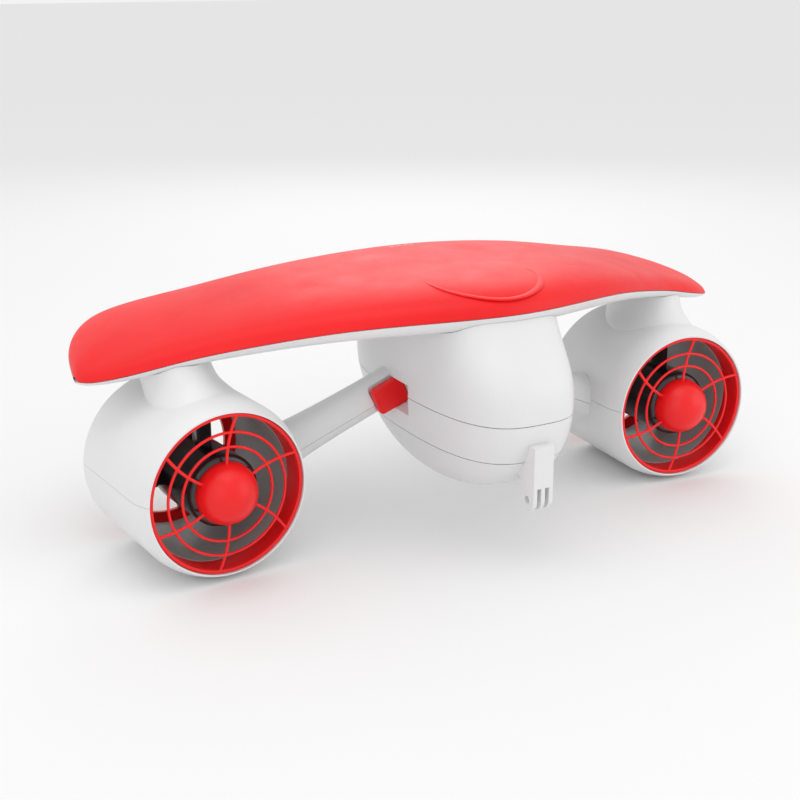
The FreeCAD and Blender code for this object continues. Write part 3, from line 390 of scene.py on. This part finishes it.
# %% Sweep helper
def sweep(bm, section, places):
    ring = section(bm)
    bmesh.ops.transform(bm, matrix=places[0], verts=ring)
    previous = places[0]
    edges = [edge for edge in bm.edges if edge.verts[0] in ring and edge.verts[1] in ring]
    start_edges = list(edges)
    for place in places[1:]:
        grown = bmesh.ops.extrude_edge_only(bm, edges=edges)["geom"]
        ring = [item for item in grown if isinstance(item, bmesh.types.BMVert)]
        edges = [item for item in grown if isinstance(item, bmesh.types.BMEdge)
                 and item.verts[0] in ring and item.verts[1] in ring]
        bmesh.ops.transform(bm, matrix=place @ previous.inverted(), verts=ring)
        previous = place
    bmesh.ops.contextual_create(bm, geom=start_edges)
    bmesh.ops.contextual_create(bm, geom=edges)


def oval(wide, thick, points=14):
    def make(bm):
        ring = bmesh.ops.create_circle(bm, radius=1.0, segments=points)["verts"]
        bmesh.ops.scale(bm, vec=(wide, thick, 1.0), verts=ring)
        return ring
    return make


def along_path(points, up=Vector((0, 0, 1)), sizes=None):
    places = []
    for index, point in enumerate(points):
        before = points[max(index - 1, 0)]
        after = points[min(index + 1, len(points) - 1)]
        place = place_from(point, after - before, up)
        if sizes:
            place = place @ Matrix.Diagonal((sizes[index], sizes[index], 1, 1))
        places.append(place)
    return places


print("sweep ready")

# %% [markdown]
# ## Intake guards
# A flat red guard keeps fingers out of each propeller: an outer ring, two inner rings, six swept
# spokes and a domed hub. It could be drilled out of one casting, but the real one is moulded as round
# bars, so each ring is a spun circle and each spoke is a swept oval that runs through the rings.

# %% Guard sizes
GUARD_RADIUS = 54 * MM
INNER_RINGS = (41.3 * MM, 31.6 * MM)
BAR = 0.95 * MM
SPOKES = 6
SPOKE_SWEEP = 8.8 * MM
HUB_RADIUS = 20.9 * MM
HUB_SET_BACK = 3.6 * MM
RING_SIDES = 12
RING_STEPS = 96


def add_ring(bm, radius, bar):
    ring = oval(bar, bar, RING_SIDES)(bm)
    bmesh.ops.rotate(bm, matrix=Matrix.Rotation(math.pi / 2, 3, "X"), verts=ring)
    bmesh.ops.translate(bm, vec=(radius, 0, 0), verts=ring)
    edges = [edge for edge in bm.edges if edge.verts[0] in ring and edge.verts[1] in ring]
    bmesh.ops.spin(bm, geom=ring + edges, axis=(0, 0, 1), cent=(0, 0, 0), angle=2 * math.pi,
                   steps=RING_STEPS, use_merge=True)


print("guard radius", round(GUARD_RADIUS / MM, 1), "mm")

# %% [markdown]
# ## The guard's sleeve and hub
# The outer ring has a sleeve that fits in the duct's mouth. Four points spun into a band and bevelled
# give its soft lip. The hub is the front half of a ball: the ball is cut by a plane and its open rim
# is drawn back to meet the motor pod.

# %% Sleeve and dome
SLEEVE_WALL = 2.6 * MM
SLEEVE_DEPTH = 16 * MM
SLEEVE_STEPS = 128
LIP_BEVEL = 0.9 * MM
LIP_SEGMENTS = 4
TOUCHING = 0.001 * MM
DOME_SKIRT = 0.8 * MM
DOME_AROUND = 72
DOME_BANDS = 36
DOME_REACH = HUB_RADIUS * 1.01


def bevel_edges(bm, edges, offset, segments):
    bmesh.ops.bevel(bm, geom=edges, offset=offset, affect="EDGES", segments=segments, profile=0.5,
                    material=-1)


def add_sleeve(bm):
    inner = GUARD_RADIUS - SLEEVE_WALL
    corners = ((inner, -BAR), (GUARD_RADIUS, -BAR), (GUARD_RADIUS, SLEEVE_DEPTH), (inner, SLEEVE_DEPTH))
    verts = [bm.verts.new((radius, 0, depth)) for radius, depth in corners]
    edges = [bm.edges.new((verts[i], verts[(i + 1) % 4])) for i in range(4)]
    bmesh.ops.spin(bm, geom=verts + edges, axis=(0, 0, 1), cent=(0, 0, 0), angle=2 * math.pi,
                   steps=SLEEVE_STEPS, use_merge=True)
    front = [edge for edge in bm.edges if edge.is_manifold
             and all(abs(vert.co.z + BAR) < TOUCHING for vert in edge.verts)
             and abs(edge.verts[0].co.xy.length - edge.verts[1].co.xy.length) < TOUCHING]
    bevel_edges(bm, front, LIP_BEVEL, LIP_SEGMENTS)


def add_dome(bm):
    ball = bmesh.ops.create_uvsphere(bm, u_segments=DOME_AROUND, v_segments=DOME_BANDS,
                                     radius=HUB_RADIUS)["verts"]
    faces = {face for vert in ball for face in vert.link_faces}
    edges = {edge for vert in ball for edge in vert.link_edges}
    cut = bmesh.ops.bisect_plane(bm, geom=ball + list(edges) + list(faces), plane_co=(0, 0, 0),
                                 plane_no=(0, 0, 1), clear_outer=True)["geom_cut"]
    rim = [item for item in cut if isinstance(item, bmesh.types.BMEdge)]
    skirt = bmesh.ops.extrude_edge_only(bm, edges=rim)["geom"]
    ends = [item for item in skirt if isinstance(item, bmesh.types.BMVert)]
    bmesh.ops.translate(bm, vec=(0, 0, DOME_SKIRT), verts=ends)
    edges = [item for item in skirt if isinstance(item, bmesh.types.BMEdge)
             and all(vert in ends for vert in item.verts)]
    bmesh.ops.contextual_create(bm, geom=edges)
    dome = [vert for vert in bm.verts if vert.co.xy.length < DOME_REACH]
    bmesh.ops.translate(bm, vec=(0, 0, HUB_SET_BACK), verts=dome)


print("sleeve wall", round(SLEEVE_WALL / MM, 1), "mm")

# %% [markdown]
# ## Put each guard together
# A spoke leaves the hub straight out and curves aside as the square of its way to the rim. Six turned
# copies of that path are swept, the rings are spun, and the whole guard stays one moulding, as the
# real one is.

# %% Build the guards
SPOKE_STEPS = 14
SPOKE_ROOT = 19.5 * MM
SPOKE_WIDTH = BAR * 1.15


def spoke_path():
    points = []
    for step in range(SPOKE_STEPS + 1):
        share = step / SPOKE_STEPS
        radius = SPOKE_ROOT + (GUARD_RADIUS - BAR - SPOKE_ROOT) * share
        points.append(Vector((-SPOKE_SWEEP * share ** 2, radius, 0)))
    return points


for side in ("left", "right"):
    bm = bmesh.new()
    add_sleeve(bm)
    add_dome(bm)
    for radius in INNER_RINGS:
        add_ring(bm, radius, BAR)
    spoke_places = along_path(spoke_path())
    for count in range(SPOKES):
        turn = Matrix.Rotation(2 * math.pi * count / SPOKES, 4, "Z")
        sweep(bm, oval(SPOKE_WIDTH, BAR), [turn @ place for place in spoke_places])
    finish_piece(bm, side + "_guard_moulding", RED_PART, "scooter", THRUSTERS[side],
                 side + "_intake_guard")

# %% [markdown]
# ## Propellers
# Each propeller has three blades that twist from a steep pitch at the hub to a shallow one at the
# tip, where the water passes faster. The two screws are mirror images, so that their torques cancel.
# A blade is one thin oval section swept outwards, turned and narrowed at each step.

# %% Propeller sizes
HUB_START = 61.2 * MM
HUB_END = 87.2 * MM
HUB_FRONT = 23.5 * MM
HUB_TAIL = 12 * MM
BLADE_ROOT = HUB_FRONT * 0.6
BLADE_TIP = 49.5 * MM
BLADES = 3
BLADE_STEPS = 20
BLADE_SIDES = 24
HALF_CHORD = 12 * MM
ROOT_HALF_THICKNESS = 1.5 * MM
THINNING = 0.8 * MM
ROUNDED_FROM = 0.8
ROUNDING_POWER = 2.6
NARROWEST = 0.02
THINNEST = 0.5
ROOT_PITCH = math.radians(50)
TIP_PITCH = math.radians(25)
REST_TURN = math.radians(20)


def blade_places(hand):
    middle = (HUB_START + HUB_END) / 2
    places = []
    for step in range(BLADE_STEPS + 1):
        share = math.sin(step / BLADE_STEPS * math.pi / 2)
        radius = BLADE_ROOT + (BLADE_TIP - BLADE_ROOT) * share
        pitch = ROOT_PITCH + (TIP_PITCH - ROOT_PITCH) * share
        past = max(0.0, (share - ROUNDED_FROM) / (1 - ROUNDED_FROM))
        rounding = math.sqrt(max(NARROWEST, 1 - past ** ROUNDING_POWER))
        chord = HALF_CHORD * rounding
        thick = (ROOT_HALF_THICKNESS - THINNING * share) * max(THINNEST, rounding)
        across = Vector((math.cos(pitch) * hand, 0, math.sin(pitch)))
        out = Vector((0, 1, 0))
        flat = out.cross(across)
        turn = Matrix((across * chord, flat * thick, out)).transposed().to_4x4()
        places.append(Matrix.Translation((0, radius, middle)) @ turn)
    return places


print("blade from", round(BLADE_ROOT / MM, 1), "to", round(BLADE_TIP / MM, 1), "mm")

# %% [markdown]
# ## The propeller's hub
# The hub carries on the motor pod's line and then tapers in a smooth curve to the tail. A line of
# points drawn along that curve and spun about the axis is what a lathe would do. The line closes on
# itself along the shaft's hole, so the hub is a solid ring around the shaft.

# %% Build the propellers
SHAFT_HOLE = 4.2 * MM
HUB_EDGE = 0.8 * MM
STRAIGHT_SHARE = 0.45
TAPER_POWER = 0.8
TAPER_STEPS = 16
HUB_SIDES = 80


def add_hub(bm):
    shoulder = HUB_START + (HUB_END - HUB_START) * STRAIGHT_SHARE
    profile = [(SHAFT_HOLE, HUB_START), (HUB_FRONT - HUB_EDGE, HUB_START),
               (HUB_FRONT, HUB_START + HUB_EDGE)]
    for step in range(TAPER_STEPS + 1):
        share = step / TAPER_STEPS
        radius = HUB_TAIL + (HUB_FRONT - HUB_TAIL) * math.cos(share * math.pi / 2) ** TAPER_POWER
        profile.append((radius, shoulder + (HUB_END - shoulder) * share))
    profile.append((SHAFT_HOLE, HUB_END))
    verts = [bm.verts.new((radius, 0, depth)) for radius, depth in profile]
    edges = [bm.edges.new((verts[i], verts[(i + 1) % len(verts)])) for i in range(len(verts))]
    bmesh.ops.spin(bm, geom=verts + edges, axis=(0, 0, 1), cent=(0, 0, 0), angle=2 * math.pi,
                   steps=HUB_SIDES, use_merge=True)


for side, hand in (("left", 1), ("right", -1)):
    bm = bmesh.new()
    add_hub(bm)
    for count in range(BLADES):
        turn = Matrix.Rotation(REST_TURN + 2 * math.pi * count / BLADES, 4, "Z")
        sweep(bm, oval(1.0, 1.0, BLADE_SIDES), [turn @ place for place in blade_places(hand)])
    finish_piece(bm, side + "_screw_moulding", BLACK, side + "_screw", THRUSTERS[side],
                 side + "_propeller")

# %% [markdown]
# ## Triggers
# A red trigger stands in each corner between grip and hull. It is a rounded block with a soft front
# edge and a shallow dish where the finger rests. A cube scaled to size, bevelled twice and inset once
# gives exactly that, and it rides on its own body, so a pose can press it.

# %% Trigger block
GRIP_RUN = Vector((95, 8, -41))
TRIGGER_LONG = 24 * MM
TRIGGER_TALL = 20 * MM
TRIGGER_DEEP = 5.2 * MM
TRIGGER_CORNER = 3.4 * MM
CORNER_SEGMENTS = 8
FRONT_BEVEL = 0.9 * MM
FRONT_SEGMENTS = 5
DISH_MARGIN = 1.6 * MM
DISH_DEPTH = 0.35 * MM


def trigger_block():
    bm = bmesh.new()
    bmesh.ops.create_cube(bm, size=1.0)
    bmesh.ops.scale(bm, vec=(TRIGGER_DEEP, TRIGGER_TALL, TRIGGER_LONG), verts=bm.verts)
    corners = [edge for edge in bm.edges
               if abs(edge.verts[0].co.x - edge.verts[1].co.x) > TRIGGER_DEEP / 2]
    bevel_edges(bm, corners, TRIGGER_CORNER, CORNER_SEGMENTS)
    front = max(bm.faces, key=lambda face: face.calc_center_median().x)
    bevel_edges(bm, list(front.edges), FRONT_BEVEL, FRONT_SEGMENTS)
    front = max(bm.faces, key=lambda face: (round(face.calc_center_median().x, 7), face.calc_area()))
    bmesh.ops.inset_region(bm, faces=[front], thickness=DISH_MARGIN, depth=-DISH_DEPTH)
    return bm


TRIGGER_PLACES = {}
for side, across in (("left", 1), ("right", -1)):
    low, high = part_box(side + "_trigger")
    press = Vector(JOINTS[side + "_trigger_press"]["axis"])
    run = Vector((GRIP_RUN.x * across, GRIP_RUN.y, GRIP_RUN.z)).normalized()
    forward = -press.normalized()
    tall = run.cross(forward).normalized()
    turn = Matrix((forward, tall, run)).transposed().to_4x4()
    TRIGGER_PLACES[side] = Matrix.Translation((low + high) / 2) @ turn
    finish_piece(trigger_block(), side + "_trigger_moulding", RED_PART, side + "_trigger",
                 TRIGGER_PLACES[side], side + "_trigger", crease=50.0)

# %% [markdown]
# ## Trigger springs
# A small coil spring behind each trigger pushes it out again. It is a thin round wire swept along
# a helix. When the trigger is pressed the real coil flattens against the metal tube in the grip; here
# it rides on the scooter's body, so it isn't carried along by the trigger.

# %% Coil springs
COIL_LENGTH = 3.9 * MM
COIL_RADIUS = 2.75 * MM
COIL_WIRE = 0.34 * MM
COIL_TURNS = 3
COIL_STEPS = 18
COIL_SIDES = 10
COIL_ROOM = 4.0 * MM
COIL_SEAT = -TRIGGER_DEEP / 2 - COIL_ROOM


def coil_path():
    points = []
    for step in range(COIL_TURNS * COIL_STEPS + 1):
        share = step / (COIL_TURNS * COIL_STEPS)
        angle = 2 * math.pi * COIL_TURNS * share
        points.append(Vector((COIL_SEAT + COIL_WIRE + (COIL_LENGTH - 2 * COIL_WIRE) * share,
                              COIL_RADIUS * math.cos(angle), COIL_RADIUS * math.sin(angle))))
    return points


for side, place in TRIGGER_PLACES.items():
    bm = bmesh.new()
    sweep(bm, oval(COIL_WIRE, COIL_WIRE, COIL_SIDES), along_path(coil_path(), up=Vector((1, 0, 0))))
    coil = finish_piece(bm, side + "_trigger_coil", STEEL, "scooter", place,
                        side + "_trigger_spring", crease=60.0)
    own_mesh(coil)

# %% [markdown]
# ## The ridge on the cover
# A low curved ridge rises from the front of the cover, in a half circle that fades out at both ends.
# It could be carved into the cover, but the frame's shell stays as it is, so the ridge is a flat oval
# swept along a half circle. A ray dropped onto the cover gives the height of each of its points.

# %% Cover ridge
RIDGE_CENTRE = Vector((-1 * MM, -40 * MM))
RIDGE_RADIUS = 40.5 * MM
RIDGE_WIDTH = 3.2 * MM
RIDGE_HEIGHT = 1.0 * MM
RIDGE_STEPS = 64
RIDGE_START = 176
RIDGE_TURN = 192
RIDGE_ENDS = 0.12
RIDGE_FADE = 0.7
RIDGE_SIDES = 20
DROP_FROM = 0.3


def on_cover(x, y):
    cover = frame["nodes"]["board_cover"]
    return cover.ray_cast(Vector((x, y, DROP_FROM)), Vector((0, 0, -1)))[1]


ridge_path = []
ridge_sizes = []
for step in range(RIDGE_STEPS + 1):
    share = step / RIDGE_STEPS
    angle = math.radians(RIDGE_START + RIDGE_TURN * share)
    ridge_path.append(on_cover(RIDGE_CENTRE.x + RIDGE_RADIUS * math.cos(angle),
                               RIDGE_CENTRE.y + RIDGE_RADIUS * math.sin(angle)))
    ridge_sizes.append(RIDGE_ENDS + (1 - RIDGE_ENDS) * math.sin(math.pi * share) ** RIDGE_FADE)
bm = bmesh.new()
sweep(bm, oval(RIDGE_WIDTH, RIDGE_HEIGHT, RIDGE_SIDES), along_path(ridge_path, sizes=ridge_sizes))
finish_piece(bm, "cover_ridge", RED_GLOSS, "scooter", Matrix(), None)

# %% [markdown]
# ## Floor and light
# The scooter stands on a plain pale floor under soft studio light. A large lamp overhead gives the
# satin shells one broad highlight, two at the front open the shadows under the board, and a dim rim
# lamp behind separates the white hull from the background.

# %% Stage
FLOOR_HALF = 12.0
WORLD_STRENGTH = 0.9
TARGET = Vector((0, 0, 0.09))
LAMP_UP = Vector((0, 0.001, 1))


def soft_lamp(name, place, size, power):
    light = bpy.data.lights.new(name, "AREA")
    light.shape = "RECTANGLE"
    light.size = size[0]
    light.size_y = size[1]
    light.energy = power
    lamp = bpy.data.objects.new(name, light)
    lamp.matrix_world = place_from(Vector(place), Vector(place) - TARGET, LAMP_UP)
    bpy.context.scene.collection.objects.link(lamp)


bm = bmesh.new()
bmesh.ops.create_grid(bm, x_segments=1, y_segments=1, size=FLOOR_HALF)
floor_mesh = bpy.data.meshes.new("floor")
bm.to_mesh(floor_mesh)
bm.free()
floor = bpy.data.objects.new("floor", floor_mesh)
bpy.context.scene.collection.objects.link(floor)
floor_finish, floor_tree, floor_shader = start_material("pale_floor")
floor_shader.inputs["Base Color"].default_value = (0.86, 0.86, 0.86, 1)
floor_shader.inputs["Roughness"].default_value = 0.9
floor_mesh.materials.append(floor_finish)

world = bpy.data.worlds.new("studio")
world.use_nodes = True
world.node_tree.nodes["Background"].inputs["Color"].default_value = (1, 1, 1, 1)
world.node_tree.nodes["Background"].inputs["Strength"].default_value = WORLD_STRENGTH
bpy.context.scene.world = world

soft_lamp("overhead", (-0.25, -0.15, 1.3), (1.2, 0.9), 3.5)
soft_lamp("front_left", (-1.1, -1.0, 0.7), (0.9, 0.9), 1.6)
soft_lamp("front_right", (1.0, -0.9, 0.5), (0.9, 0.9), 2.2)
soft_lamp("rim", (0.7, 1.3, 0.8), (0.8, 0.4), 2)
bpy.context.scene.view_settings.view_transform = "Standard"
print("stage lit")

# %% [markdown]
# ## Camera
# The view is from ahead and a little to one side, looking slightly down, through a long lens. The
# three directions below are the camera's right, up and back, so the matrix needs no rotation order.

# %% Camera
LENS = 60.8
SENSOR = 36
EYE = Vector((-0.4748, -0.7898, 0.3843))
LOOK = Vector((0.4583, 0.8328, -0.3103))
CAMERA_UP = Vector((0.150, 0.272, 0.950))

camera_data = bpy.data.cameras.new("studio_camera")
camera_data.lens = LENS
camera_data.sensor_width = SENSOR
camera = bpy.data.objects.new("studio_camera", camera_data)
camera.matrix_world = place_from(EYE, -LOOK, CAMERA_UP)
bpy.context.scene.collection.objects.link(camera)
bpy.context.scene.camera = camera
print("camera at", [round(v, 3) for v in EYE])
